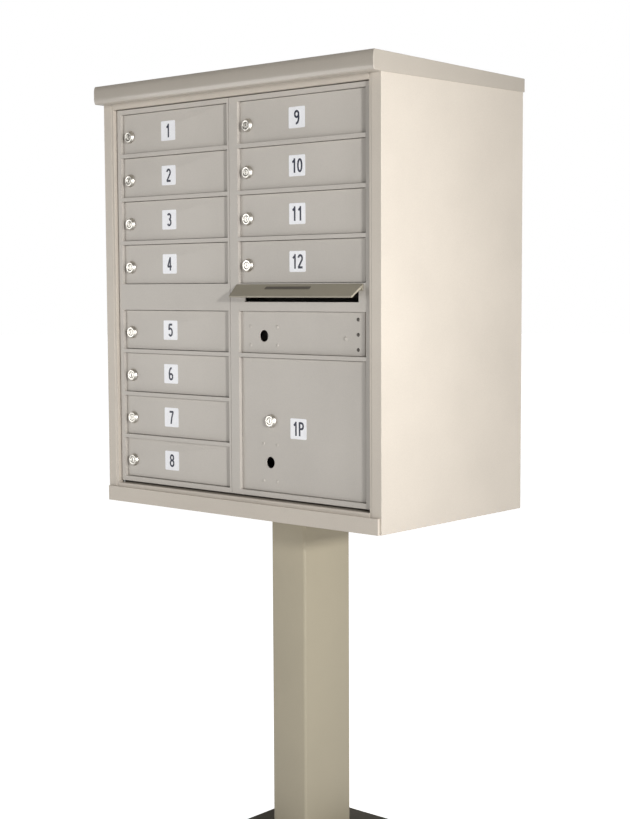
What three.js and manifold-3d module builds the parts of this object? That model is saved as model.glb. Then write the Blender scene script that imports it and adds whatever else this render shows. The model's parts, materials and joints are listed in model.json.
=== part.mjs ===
// Cluster mailbox unit on a pedestal: twelve tenant doors, one parcel locker and an outgoing mail slot.
// Millimetres, +Z up, +X to the right seen from the front, front towards -Y.
// The origin is on the floor, under the middle of the cabinet.
import * as THREE from "three";
import { mergeVertices } from "three/addons/utils/BufferGeometryUtils.js";
import Module from "manifold-3d";

const wasm = await Module();
wasm.setup();

// Overall
const CABINET_WIDTH = 764;
const CABINET_DEPTH = 448;
const PEDESTAL_HEIGHT = 722; // floor to the cabinet's underside
const SKIN = 2.5; // cabinet sheet
const SEAT_GAP = 0.3; // between pieces that touch

// Pedestal
const POST_WIDTH = 95;
const POST_DEPTH = 142;
const POST_WALL = 4;
const BASE_PLATE_SIDE = 325;
const BASE_PLATE_THICKNESS = 10;
const ANCHOR_HOLE_DIAMETER = 16;
const ANCHOR_INSET = 38;
const TOP_PLATE_MARGIN = 45; // top plate beyond the post, all round
const TOP_PLATE_THICKNESS = 8;

// Cabinet front, from the underside up
const LIP_HEIGHT = 31;
const LIP_PROJECTION = 6;
const LIP_INSET = 4;
const SILL_HEIGHT = 8;
const SILL_REACH = 4; // sill beam behind the master doors
const DOOR_GAP_BOTTOM = 5;
const BOTTOM_RAIL = 10;
const OPENING_HEIGHT = 82.5; // one tenant door
const RAIL_HEIGHT = 8; // between two doors
const BAND_HEIGHT = 54; // blank band at the left, mail slot at the right
const TOP_RAIL = 9;
const DOOR_GAP_TOP = 2;
const HEADER_FACE = 11; // header seen below the hood
const LATCH_CATCH_GAP = 3; // between the header and the latch bar behind it
const STACK_COUNT = 4; // tenant doors above the band, and below it

// Cabinet front, across
const STILE_WIDTH = 29;
const STILE_STEP_WIDTH = 6;
const STILE_STEP_DEPTH = 1;
const STILE_RETURN = 14;
const MASTER_SIDE_GAP = 1.5;
const MASTER_SEAM_X = -15.05; // middle of the gap between the master doors
const MASTER_SEAM_GAP = 1.2;
const HINGE_STILE = 13;
const LEFT_FREE_STILE = 5;
const RIGHT_FREE_STILE = 23.1;

// Master doors
const MASTER_RECESS = 8; // face behind the cabinet's front
const MASTER_THICKNESS = 22;
const MASTER_FACE = 3; // face plate of the bands
const MASTER_HINGE_INSET = 5; // pin from the door's outer edge
const MASTER_HINGE_DEPTH = 4; // pin behind the door's face
const MASTER_CHAMFER = 2;
const HINGE_PIN_DIAMETER = 4;
const HINGE_PIN_CLEARANCE = 0.4;
const HINGE_PIN_SEAT = 4; // pin into the sill and the header

// Doors in the master doors
const DOOR_RECESS = 7; // behind the master door's face
const DOOR_SHEET = 2.5;
const DOOR_FLANGE = 2;
const DOOR_FLANGE_DEPTH = 10;
const DOOR_CLEARANCE = 1;
const HINGE_REVEAL = 8; // bead's axis from the opening's right edge
const LEDGE_CLEARANCE = 0.4; // between a bead and the ledge behind it
const LEDGE_INSET = 0.5; // ledge's edge from the bead's axis
const BEAD_DIAMETER = 6;
const BEAD_BORE = 4;
const PINTLE_DIAMETER = 2.8;
const PINTLE_LENGTH = 3.5;

// Locks
const LOCK_INSET = 22; // from the opening's left edge
const LOCK_DROP = 6; // below the middle of a tenant door
const LOCK_HEAD_DIAMETER = 26;
const LOCK_HEAD_FRONT_DIAMETER = 23;
const LOCK_HEAD_HEIGHT = 6.7;
const LOCK_BARREL_DIAMETER = 19;
const LOCK_BARREL_LENGTH = 15;
const LOCK_HOLE_CLEARANCE = 0.4;
const PLUG_DIAMETER = 12;
const PLUG_CLEARANCE = 0.4;
const PLUG_FACE_SINK = 0.8;
const KEYWAY_WIDTH = 2;
const KEYWAY_HEIGHT = 7.5;
const KEYWAY_DEPTH = 3;
const CAM_THICKNESS = 2;
const CAM_WIDTH = 11;
const CAM_ENGAGEMENT = 4; // behind the stile when locked
const CAM_CLEARANCE = 1.2; // behind the master door

// Parcel door and master lock panel
const PARCEL_LOCK_INSET = 81.5;
const PARCEL_LOCK_RISE = 8; // above the middle of the parcel door
const KEYHOLE_DIAMETER = 23;
const PARCEL_KEYHOLE_INSET = 77.5;
const PARCEL_KEYHOLE_HEIGHT_UP = 58; // above the parcel opening's lower edge
const PANEL_KEYHOLE_INSET = 62;
const PANEL_KEYHOLE_DROP = 7;
const PANEL_CLEARANCE = 0.5;

// Outgoing mail
const SLOT_SIDE_MARGIN = 17.5;
const SLOT_HEIGHT = 20;
const SLOT_RISE = 10; // above the band's lower rail
const MAIL_HOOD_SHIFT = 5.5; // to the left of the column's openings
const MAIL_HOOD_PROJECTION = 27;
const MAIL_HOOD_DROP = 23;
const MAIL_HOOD_SHEET = 2.5;
const MAIL_HOOD_HEM = 3;
const MAIL_HOOD_TOP_GAP = 1.5; // below the band's upper edge
const MAIL_HOOD_MITRE = 6; // each end shorter at the tip
const MAIL_HOOD_CHEEK = 6; // depth of its ends
const MAIL_HOOD_FLANGE_GAP = 1; // above the slot
const GUARD_SHEET = 1.6;
const GUARD_REACH = 46;
const GUARD_DROP = 22;
const GUARD_FLANGE = 6;
const GUARD_OVERHANG = 2; // past each end of the slot

// Master latch
const LATCH_WIDTH = 12;
const LATCH_THICKNESS = 5;
const LATCH_EDGE = 3.5; // from the right master door's free edge
const LATCH_STANDOFF = 1; // behind the master door
const LATCH_TOP_GAP = 8; // below the header when open
const LATCH_FOOT_RISE = 16; // above the master door's lower edge
const LATCH_ARM_LENGTH = 64;
const LATCH_ARM_HEIGHT = 20;
const GUIDE_SHEET = 1.5;
const GUIDE_HEIGHT = 20;
const GUIDE_PLAY = 0.5;
const GUIDE_RISES = [200, 560]; // above the master door's lower edge

// Compartment racks
const RACK_GAP = 10; // behind the master doors
const RACK_SHEET = 1.6;
const RACK_MARGIN = 3; // inner faces outside the door openings

// Hood
const HOOD_SKIN = 2;
const HOOD_SKIRT = 37;
const HOOD_REAR_SKIRT = 27;
const HOOD_CLEARANCE = 0.4;
const HOOD_FRONT_OVERHANG = 21.5;
const HOOD_NOSE_BULGE = 3;
const HOOD_NOSE_STEPS = 8;
const HOOD_NOSE_FULLNESS = 4; // power of the nose's curve

// Round pieces, sides of each
const HOLE_SIDES = 16;
const BORE_SIDES = 12;
const BEAD_SIDES = 12;
const BEAD_BORE_SIDES = 8;
const PIN_SIDES = 10;
const PINTLE_SIDES = 8;
const PAST = 1; // how far a cutting piece runs past what it cuts

// Heights above the cabinet's underside
const sillTop = LIP_HEIGHT + SILL_HEIGHT;
const masterBottom = sillTop + DOOR_GAP_BOTTOM;
const lowerBottom = masterBottom + BOTTOM_RAIL;
const openingPitch = OPENING_HEIGHT + RAIL_HEIGHT;
const stackHeight = STACK_COUNT * openingPitch - RAIL_HEIGHT;
const bandBottom = lowerBottom + stackHeight;
const bandTop = bandBottom + BAND_HEIGHT;
const upperTop = bandTop + stackHeight;
const masterTop = upperTop + TOP_RAIL;
const headerBottom = masterTop + DOOR_GAP_TOP;
const hoodBottom = headerBottom + HEADER_FACE;
const hoodTop = hoodBottom + HOOD_SKIRT;
const wallTop = hoodTop - HOOD_SKIN - HOOD_CLEARANCE;
const panelBottom = bandBottom - OPENING_HEIGHT;
const parcelTop = panelBottom - RAIL_HEIGHT;

// Places across
const halfWidth = CABINET_WIDTH / 2;
const insideWall = halfWidth - SKIN;
const stileEdge = halfWidth - STILE_WIDTH;
const masterEdge = stileEdge - MASTER_SIDE_GAP;
const masterHingeX = masterEdge - MASTER_HINGE_INSET;
const openingEdge = masterEdge - HINGE_STILE;
const leftMasterRight = MASTER_SEAM_X - MASTER_SEAM_GAP / 2;
const rightMasterLeft = MASTER_SEAM_X + MASTER_SEAM_GAP / 2;
const leftColumn = [-openingEdge, leftMasterRight - LEFT_FREE_STILE];
const rightColumn = [rightMasterLeft + RIGHT_FREE_STILE, openingEdge];

// Depths behind the cabinet's front
const masterBack = MASTER_RECESS + MASTER_THICKNESS;
const masterHingeY = MASTER_RECESS + MASTER_HINGE_DEPTH;
const doorFront = MASTER_RECESS + DOOR_RECESS;
const doorBack = doorFront + DOOR_SHEET;
const camFront = masterBack + CAM_CLEARANCE;
const camBack = camFront + CAM_THICKNESS;
const backFront = CABINET_DEPTH - SKIN; // back panel's inner face
const rackFront = masterBack + RACK_GAP;
const rackBack = backFront - SEAT_GAP;
const sillDepth = masterBack + SILL_REACH;
const headerDepth = masterBack + LATCH_STANDOFF - LATCH_CATCH_GAP;

const COATING = { color: 0xc4beb4, roughness: 0.5, metalness: 0.0 };
const DARK_COATING = { color: 0x5a564e, roughness: 0.6, metalness: 0.0 };
const CHROME = { color: 0xc9c9c9, roughness: 0.2, metalness: 1.0 };
const STEEL = { color: 0x9a9a98, roughness: 0.4, metalness: 1.0 };
const ALUMINIUM = { color: 0xb4b4b0, roughness: 0.45, metalness: 1.0 };

// A closed geometry as a solid for joining and cutting.
function solid(geometry) {
  const bare = geometry.index ? geometry.toNonIndexed() : geometry.clone();
  bare.deleteAttribute("normal");
  bare.deleteAttribute("uv");
  const merged = mergeVertices(bare, 1e-4);
  return new wasm.Manifold(
    new wasm.Mesh({
      numProp: 3,
      vertProperties: merged.attributes.position.array,
      triVerts: new Uint32Array(merged.index.array),
    }),
  );
}

// A box from its lowest and highest corners.
function block([x0, x1], [y0, y1], [z0, z1]) {
  const geometry = new THREE.BoxGeometry(x1 - x0, y1 - y0, z1 - z0);
  geometry.translate((x0 + x1) / 2, (y0 + y1) / 2, (z0 + z1) / 2);
  return solid(geometry);
}

// A round bar along Y.
function barY(diameter, x, z, [y0, y1], sides) {
  const geometry = new THREE.CylinderGeometry(diameter / 2, diameter / 2, y1 - y0, sides);
  geometry.translate(x, (y0 + y1) / 2, z);
  return solid(geometry);
}

// A round bar along Z.
function barZ(diameter, x, y, [z0, z1], sides) {
  const geometry = new THREE.CylinderGeometry(diameter / 2, diameter / 2, z1 - z0, sides);
  geometry.rotateX(Math.PI / 2);
  geometry.translate(x, y, (z0 + z1) / 2);
  return solid(geometry);
}

// An outline of [y, z] points carried along X.
function beamX(outline, [x0, x1]) {
  const shape = new THREE.Shape(outline.map(([y, z]) => new THREE.Vector2(y, z)));
  const geometry = new THREE.ExtrudeGeometry(shape, { depth: x1 - x0, bevelEnabled: false });
  geometry.applyMatrix4(new THREE.Matrix4().set(0, 0, 1, x0, 1, 0, 0, 0, 0, 1, 0, 0, 0, 0, 0, 1));
  return solid(geometry);
}

// An outline of [x, y] points carried along Z.
function beamZ(outline, [z0, z1]) {
  const shape = new THREE.Shape(outline.map(([x, y]) => new THREE.Vector2(x, y)));
  const geometry = new THREE.ExtrudeGeometry(shape, { depth: z1 - z0, bevelEnabled: false });
  geometry.translate(0, 0, z0);
  return solid(geometry);
}

// A range made a little longer at both ends, for a cutting piece.
function past([low, high]) {
  return [low - PAST, high + PAST];
}

function join(...pieces) {
  return pieces.reduce((whole, piece) => whole.add(piece));
}

function cut(whole, ...tools) {
  return tools.reduce((rest, tool) => rest.subtract(tool), whole);
}

// A named mesh made from a solid.
function mesh(name, shape, look) {
  const { numProp, vertProperties, triVerts } = shape.getMesh();
  const indexed = new THREE.BufferGeometry();
  indexed.setAttribute("position", new THREE.BufferAttribute(vertProperties, numProp));
  indexed.setIndex(new THREE.BufferAttribute(triVerts, 1));
  const geometry = indexed.toNonIndexed();
  geometry.computeVertexNormals();
  const made = new THREE.Mesh(geometry, new THREE.MeshStandardMaterial(look));
  made.name = name;
  return made;
}

// Pedestal, in the floor's frame
function basePlate() {
  const half = BASE_PLATE_SIDE / 2;
  const place = half - ANCHOR_INSET;
  const plate = block([-half, half], [-half, half], [0, BASE_PLATE_THICKNESS]);
  const through = past([0, BASE_PLATE_THICKNESS]);
  const holes = [-place, place].flatMap((x) =>
    [-place, place].map((y) => barZ(ANCHOR_HOLE_DIAMETER, x, y, through, HOLE_SIDES)),
  );
  return cut(plate, ...holes);
}

const topPlateTop = PEDESTAL_HEIGHT - SEAT_GAP;
const postTop = topPlateTop - TOP_PLATE_THICKNESS - SEAT_GAP;

function pedestalPost() {
  const x = POST_WIDTH / 2;
  const y = POST_DEPTH / 2;
  const heights = [BASE_PLATE_THICKNESS + SEAT_GAP, postTop];
  const tube = block([-x, x], [-y, y], heights);
  const innerX = x - POST_WALL;
  const innerY = y - POST_WALL;
  return cut(tube, block([-innerX, innerX], [-innerY, innerY], past(heights)));
}

function pedestalTopPlate() {
  const x = POST_WIDTH / 2 + TOP_PLATE_MARGIN;
  const y = POST_DEPTH / 2 + TOP_PLATE_MARGIN;
  return block([-x, x], [-y, y], [topPlateTop - TOP_PLATE_THICKNESS, topPlateTop]);
}

// Cabinet walls, in the cabinet's frame: y = 0 at the front, z = 0 at the underside.
// A side is one folded sheet: wall, stepped stile at the front, and the stile's return.
function sidePanel(side) {
  const step = stileEdge + STILE_STEP_WIDTH;
  const outline = [
    [halfWidth, 0],
    [halfWidth, CABINET_DEPTH],
    [insideWall, CABINET_DEPTH],
    [insideWall, SKIN],
    [stileEdge + SKIN, SKIN],
    [stileEdge + SKIN, STILE_RETURN],
    [stileEdge, STILE_RETURN],
    [stileEdge, STILE_STEP_DEPTH],
    [step, STILE_STEP_DEPTH],
    [step, 0],
  ];
  const placed = outline.map(([x, y]) => [side * x, y]);
  return beamZ(placed, [0, wallTop]);
}

function backPanel() {
  const edge = insideWall - SEAT_GAP;
  const heights = [SKIN + SEAT_GAP, wallTop - SKIN - SEAT_GAP];
  return block([-edge, edge], [backFront, CABINET_DEPTH], heights);
}

// A sheet between the side walls, notched round the returns of both stiles.
function notchedSheet(front, heights) {
  const wide = insideWall - SEAT_GAP;
  const narrow = stileEdge - SEAT_GAP;
  const sheet = block([-wide, wide], [STILE_RETURN + SEAT_GAP, CABINET_DEPTH], heights);
  return join(sheet, block([-narrow, narrow], [front, STILE_RETURN + SKIN], heights));
}

// Floor sheet, the box beam of the sill, and the lip in front of it.
function bottomPan() {
  const narrow = stileEdge - SEAT_GAP;
  const front = [-narrow, narrow];
  const lipX = halfWidth - LIP_INSET;
  const floor = notchedSheet(-SEAT_GAP - SKIN, [0, SKIN]);
  const lip = block([-lipX, lipX], [-LIP_PROJECTION, -SEAT_GAP], [0, LIP_HEIGHT]);
  const sillFace = block(front, [-SEAT_GAP - PAST, SKIN], [0, LIP_HEIGHT]);
  const sillUpper = block(front, [0, SKIN], [LIP_HEIGHT - PAST, sillTop]);
  const sillDeck = block(front, [0, sillDepth], [sillTop - SKIN, sillTop]);
  const sillBack = block(front, [sillDepth - SKIN, sillDepth], [0, sillTop]);
  const beam = join(floor, lip, sillFace, sillUpper, sillDeck, sillBack);
  return cut(beam, ...pinSockets([sillTop - HINGE_PIN_SEAT, sillTop + PAST]));
}

// Channel over the master doors. Its back leg is what the latch bar catches behind.
function headerRail() {
  const edge = stileEdge - SEAT_GAP;
  const across = [-edge, edge];
  const top = wallTop - SKIN - SEAT_GAP;
  const face = block(across, [0, SKIN], [headerBottom, top]);
  const foot = block(across, [0, headerDepth], [headerBottom, headerBottom + SKIN]);
  const leg = block(across, [headerDepth - SKIN, headerDepth], [headerBottom, top]);
  const channel = join(face, foot, leg);
  return cut(channel, ...pinSockets([headerBottom - PAST, headerBottom + HINGE_PIN_SEAT]));
}

function topPanel() {
  return notchedSheet(SKIN + SEAT_GAP, [wallTop - SKIN, wallTop]);
}

const pinBore = HINGE_PIN_DIAMETER + 2 * HINGE_PIN_CLEARANCE;

function pinSockets(heights) {
  return [-masterHingeX, masterHingeX].map((x) => barZ(pinBore, x, masterHingeY, heights, BORE_SIDES));
}

function masterHingePin(side) {
  const seat = HINGE_PIN_SEAT - SEAT_GAP;
  const heights = [sillTop - seat, headerBottom + seat];
  return barZ(HINGE_PIN_DIAMETER, side * masterHingeX, masterHingeY, heights, PIN_SIDES);
}

// Rain hood: a flat top with skirts and a rounded nose. The side skirts' lower edge rises to the rear.
function hood() {
  const outer = halfWidth + HOOD_CLEARANCE + HOOD_SKIN;
  const inner = halfWidth + HOOD_CLEARANCE;
  const rear = CABINET_DEPTH + HOOD_CLEARANCE + HOOD_SKIN;
  const rearBottom = hoodTop - HOOD_REAR_SKIRT;
  const nose = [];
  for (let i = 0; i <= HOOD_NOSE_STEPS; i++) {
    const t = i / HOOD_NOSE_STEPS;
    const bulge = HOOD_NOSE_BULGE * (1 - Math.pow(2 * t - 1, HOOD_NOSE_FULLNESS));
    nose.push([-HOOD_FRONT_OVERHANG - bulge, hoodTop - t * HOOD_SKIRT]);
  }
  const outside = [...nose, [-HOOD_CLEARANCE, hoodBottom], [rear, rearBottom], [rear, hoodTop]];
  const inside = [
    [-HOOD_FRONT_OVERHANG + HOOD_SKIN, hoodTop - HOOD_SKIN],
    [-HOOD_FRONT_OVERHANG + HOOD_SKIN, hoodBottom + HOOD_SKIN],
    [-HOOD_CLEARANCE, hoodBottom + HOOD_SKIN],
    [-HOOD_CLEARANCE, hoodBottom - HOOD_SKIRT],
    [rear - HOOD_SKIN, hoodBottom - HOOD_SKIRT],
    [rear - HOOD_SKIN, hoodTop - HOOD_SKIN],
  ];
  return cut(beamX(outside, [-outer, outer]), beamX(inside, [-inner, inner]));
}

// Door openings of a column, from the top down: [lower edge, upper edge].
function openingHeights(top) {
  return Array.from({ length: STACK_COUNT }, (_, i) => {
    const upper = top - i * openingPitch;
    return [upper - OPENING_HEIGHT, upper];
  });
}

const upperOpenings = openingHeights(upperTop);
const lowerOpenings = openingHeights(bandBottom);
const panelOpening = [panelBottom, bandBottom];
const parcelOpening = [lowerBottom, parcelTop];

// Compartment rack: side walls, back and shelves. Each bay is a clear height.
function rack(column, bays) {
  const inner = [column[0] - RACK_MARGIN, column[1] + RACK_MARGIN];
  const outer = [inner[0] - RACK_SHEET, inner[1] + RACK_SHEET];
  const bottom = lowerBottom - RACK_MARGIN - RACK_SHEET;
  const top = upperTop + RACK_MARGIN + RACK_SHEET;
  const body = block(outer, [rackFront, rackBack], [bottom, top]);
  const hollowDepths = [rackFront - PAST, rackBack - RACK_SHEET];
  const hollows = bays.map((bay) => block(inner, hollowDepths, bay));
  return cut(body, ...hollows);
}

// The clear height behind each opening of a stack, with one sheet behind each rail.
function stackBays(openings) {
  const reach = (RAIL_HEIGHT - RACK_SHEET) / 2;
  const last = openings.length - 1;
  return openings.map(([low, high], i) => [
    low - (i === last ? RACK_MARGIN : reach),
    high + (i === 0 ? RACK_MARGIN : reach),
  ]);
}

const upperBays = stackBays(upperOpenings);
const lowerBays = stackBays(lowerOpenings);
const bandBay = [bandBottom + RACK_MARGIN + RACK_SHEET, bandTop - RACK_MARGIN - RACK_SHEET];
const railMiddle = panelBottom - RAIL_HEIGHT / 2;
const outgoingBay = [railMiddle + RACK_SHEET / 2, bandBay[1]];
const parcelBay = [lowerBottom - RACK_MARGIN, railMiddle - RACK_SHEET / 2];

function leftRack() {
  return rack(leftColumn, [...upperBays, bandBay, ...lowerBays]);
}

function rightRack() {
  return rack(rightColumn, [...upperBays, outgoingBay, parcelBay]);
}

const beadY = doorFront + BEAD_DIAMETER / 2;
const ledgeFront = doorFront + BEAD_DIAMETER + LEDGE_CLEARANCE;

function beadX(column) {
  return column[1] - HINGE_REVEAL;
}

// Master door: a grid frame with door openings, and a band behind a thin face. Each opening has a
// ledge behind its right edge.
function masterDoor(edges, column, openings, hingeSide) {
  const depths = [MASTER_RECESS, masterBack];
  const heights = [masterBottom, masterTop];
  const frame = block(edges, depths, heights);
  const holes = openings.map((opening) => block(column, past(depths), opening));
  const ledgeX = [beadX(column) + LEDGE_INSET, column[1]];
  const ledges = openings.map((opening) => block(ledgeX, [ledgeFront, masterBack], opening));
  const pocketHeights = [bandBottom + RAIL_HEIGHT, bandTop - RAIL_HEIGHT];
  const pocket = block(column, [MASTER_RECESS + MASTER_FACE, masterBack + PAST], pocketHeights);
  const bore = barZ(pinBore, hingeSide * masterHingeX, masterHingeY, past(heights), BORE_SIDES);
  const corner = chamferTool(hingeSide * masterEdge, hingeSide, past(heights));
  return cut(join(cut(frame, ...holes), ...ledges), pocket, bore, corner);
}

// What is cut off a master door's front corner on its hinge side.
function chamferTool(edge, side, heights) {
  const inner = edge - side * MASTER_CHAMFER;
  const outer = edge + side * PAST;
  const rear = MASTER_RECESS + MASTER_CHAMFER;
  const ahead = MASTER_RECESS - PAST;
  const outline = [
    [outer, ahead],
    [outer, rear],
    [edge, rear],
    [inner, MASTER_RECESS],
    [inner, ahead],
  ];
  return beamZ(outline, heights);
}

// Short pins that stand in an opening, above and below, for its door to turn on.
function pintles(column, [low, high]) {
  const spans = [
    [low - PAST, low + PINTLE_LENGTH],
    [high - PINTLE_LENGTH, high + PAST],
  ];
  return spans.map((span) => barZ(PINTLE_DIAMETER, beadX(column), beadY, span, PINTLE_SIDES));
}

function leftMasterDoor() {
  const openings = [...upperOpenings, ...lowerOpenings];
  const door = masterDoor([-masterEdge, leftMasterRight], leftColumn, openings, -1);
  return join(door, ...openings.flatMap((opening) => pintles(leftColumn, opening)));
}

const slotX = [rightColumn[0] + SLOT_SIDE_MARGIN, rightColumn[1] - SLOT_SIDE_MARGIN];
const slotBottom = bandBottom + RAIL_HEIGHT + SLOT_RISE;

function rightMasterDoor() {
  const hinged = [...upperOpenings, parcelOpening];
  const openings = [...hinged, panelOpening];
  const door = masterDoor([rightMasterLeft, masterEdge], rightColumn, openings, 1);
  const slotDepths = past([MASTER_RECESS, MASTER_RECESS + MASTER_FACE]);
  const slot = block(slotX, slotDepths, [slotBottom, slotBottom + SLOT_HEIGHT]);
  return join(cut(door, slot), ...hinged.flatMap((opening) => pintles(rightColumn, opening)));
}

const masterLockHeight = (panelBottom + bandBottom) / 2 - PANEL_KEYHOLE_DROP;
const latchX = [rightMasterLeft + LATCH_EDGE, rightMasterLeft + LATCH_EDGE + LATCH_WIDTH];
const latchY = [masterBack + LATCH_STANDOFF, masterBack + LATCH_STANDOFF + LATCH_THICKNESS];

// Two straps over the latch bar and the rail that joins them, on the back of the right master door.
function latchGuide() {
  const inner = [latchX[0] - GUIDE_PLAY, latchX[1] + GUIDE_PLAY];
  const outer = [inner[0] - GUIDE_SHEET, inner[1] + GUIDE_SHEET];
  const front = masterBack + SEAT_GAP;
  const back = latchY[1] + GUIDE_PLAY;
  const depths = [front, back + GUIDE_SHEET];
  const spans = GUIDE_RISES.map((rise) => [masterBottom + rise, masterBottom + rise + GUIDE_HEIGHT]);
  const straps = spans.map((heights) =>
    cut(block(outer, depths, heights), block(inner, [front - PAST, back], past(heights))),
  );
  const railHeights = [spans[0][0], spans[spans.length - 1][1]];
  return join(block([outer[0], inner[0]], depths, railHeights), ...straps);
}

// Upright bar with an arm that reaches the master lock.
function latchBar() {
  const heights = [masterBottom + LATCH_FOOT_RISE, headerBottom - LATCH_TOP_GAP];
  const bar = block(latchX, latchY, heights);
  const half = LATCH_ARM_HEIGHT / 2;
  const armHeights = [masterLockHeight - half, masterLockHeight + half];
  return join(bar, block([latchX[0], latchX[1] + LATCH_ARM_LENGTH], latchY, armHeights));
}

const panBack = doorFront + DOOR_FLANGE_DEPTH;

// A pan: face sheet with a flange all round.
function pan([x0, x1], [z0, z1], clearance) {
  const across = [x0 + clearance, x1 - clearance];
  const heights = [z0 + clearance, z1 - clearance];
  const whole = block(across, [doorFront, panBack], heights);
  const inside = block(
    [across[0] + DOOR_FLANGE, across[1] - DOOR_FLANGE],
    [doorBack, panBack + PAST],
    [heights[0] + DOOR_FLANGE, heights[1] - DOOR_FLANGE],
  );
  return cut(whole, inside);
}

// A hinged door: a pan that ends at the reveal, with its right edge rolled into a bored bead.
function hingedDoor([left, right], opening) {
  const x = beadX([left, right]);
  const heights = [opening[0] + DOOR_CLEARANCE, opening[1] - DOOR_CLEARANCE];
  const sheet = pan([left, x + DOOR_CLEARANCE], opening, DOOR_CLEARANCE);
  const bead = barZ(BEAD_DIAMETER, x, beadY, heights, BEAD_SIDES);
  const bore = barZ(BEAD_BORE, x, beadY, past(heights), BEAD_BORE_SIDES);
  return cut(join(sheet, bead), bore);
}

const lockHole = LOCK_BARREL_DIAMETER + 2 * LOCK_HOLE_CLEARANCE;
const doorDepths = past([doorFront, doorBack]);

function tenantLockPlace(column, [low, high]) {
  return { x: column[0] + LOCK_INSET, z: (low + high) / 2 - LOCK_DROP };
}

function tenantDoor(column, opening) {
  const { x, z } = tenantLockPlace(column, opening);
  return cut(hingedDoor(column, opening), barY(lockHole, x, z, doorDepths, HOLE_SIDES));
}

const parcelLock = {
  x: rightColumn[0] + PARCEL_LOCK_INSET,
  z: (parcelOpening[0] + parcelOpening[1]) / 2 + PARCEL_LOCK_RISE,
};

function parcelDoor() {
  const x = rightColumn[0] + PARCEL_KEYHOLE_INSET;
  const z = parcelOpening[0] + PARCEL_KEYHOLE_HEIGHT_UP;
  const keyhole = barY(KEYHOLE_DIAMETER, x, z, doorDepths, HOLE_SIDES);
  const lock = barY(lockHole, parcelLock.x, parcelLock.z, doorDepths, HOLE_SIDES);
  return cut(hingedDoor(rightColumn, parcelOpening), keyhole, lock);
}

function masterLockPanel() {
  const x = rightColumn[0] + PANEL_KEYHOLE_INSET;
  const across = [rightColumn[0], beadX(rightColumn) + PANEL_CLEARANCE];
  const keyhole = barY(KEYHOLE_DIAMETER, x, masterLockHeight, doorDepths, HOLE_SIDES);
  return cut(pan(across, panelOpening, PANEL_CLEARANCE), keyhole);
}

// Lock body: a tapered head on a barrel with a through bore, turned about Y.
function lockBody({ x, z }) {
  const bore = PLUG_DIAMETER / 2 + PLUG_CLEARANCE;
  const headBack = doorFront - SEAT_GAP;
  const front = headBack - LOCK_HEAD_HEIGHT;
  const back = headBack + LOCK_BARREL_LENGTH;
  const profile = [
    [bore, front],
    [LOCK_HEAD_FRONT_DIAMETER / 2, front],
    [LOCK_HEAD_DIAMETER / 2, front + LOCK_HEAD_HEIGHT / 2],
    [LOCK_HEAD_DIAMETER / 2, headBack],
    [LOCK_BARREL_DIAMETER / 2, headBack],
    [LOCK_BARREL_DIAMETER / 2, back],
    [bore, back],
    [bore, front],
  ];
  const points = profile.map(([radius, y]) => new THREE.Vector2(radius, y));
  const geometry = new THREE.LatheGeometry(points, HOLE_SIDES);
  geometry.translate(x, 0, z);
  return solid(geometry);
}

// Plug with its keyway and the cam behind it, pointing up when the lock is open.
function lockPlug({ x, z }, inset) {
  const front = doorFront - SEAT_GAP - LOCK_HEAD_HEIGHT + PLUG_FACE_SINK;
  const half = CAM_WIDTH / 2;
  const plug = barY(PLUG_DIAMETER, x, z, [front, camBack], BORE_SIDES);
  const keyX = [x - KEYWAY_WIDTH / 2, x + KEYWAY_WIDTH / 2];
  const keyZ = [z - KEYWAY_HEIGHT / 2, z + KEYWAY_HEIGHT / 2];
  const keyway = block(keyX, [front - PAST, front + KEYWAY_DEPTH], keyZ);
  const cam = block([x - half, x + half], [camFront, camBack], [z, z + inset + CAM_ENGAGEMENT]);
  return cut(join(plug, cam), keyway);
}

// Fixed weather hood over the mail slot: a flange on the band and a sloped sheet with a hem, narrower
// at the tip, with a shallow cheek along each end.
function mailHood() {
  const top = bandTop - MAIL_HOOD_TOP_GAP;
  const back = MASTER_RECESS - SEAT_GAP;
  const tip = back - MAIL_HOOD_PROJECTION;
  const tipTop = top - MAIL_HOOD_DROP;
  const flange = slotBottom + SLOT_HEIGHT + MAIL_HOOD_FLANGE_GAP;
  const sheet = [
    [back, top],
    [tip, tipTop],
    [tip, tipTop - MAIL_HOOD_HEM],
    [tip + MAIL_HOOD_SHEET, tipTop - MAIL_HOOD_HEM],
    [back - MAIL_HOOD_SHEET, top - MAIL_HOOD_SHEET * 2],
    [back - MAIL_HOOD_SHEET, flange],
    [back, flange],
  ];
  const cheek = [
    [back, top],
    [tip, tipTop],
    [tip, tipTop - MAIL_HOOD_HEM],
    [back - MAIL_HOOD_SHEET, top - MAIL_HOOD_SHEET - MAIL_HOOD_CHEEK],
    [back, flange],
  ];
  const across = rightColumn.map((x) => x - MAIL_HOOD_SHIFT);
  const whole = mitredPrism(across, [back, tip]);
  const inside = mitredPrism([across[0] + MAIL_HOOD_SHEET, across[1] - MAIL_HOOD_SHEET], [back, tip]);
  const ends = cut(beamX(cheek, across).intersect(whole), inside);
  return join(beamX(sheet, across).intersect(whole), ends);
}

// The room between the mail hood's mitred ends, at any height near it.
function mitredPrism([left, right], [back, tip]) {
  const outline = [
    [left, back],
    [right, back],
    [right - MAIL_HOOD_MITRE, tip],
    [left + MAIL_HOOD_MITRE, tip],
  ];
  return beamZ(outline, [bandBottom, bandTop]);
}

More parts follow.
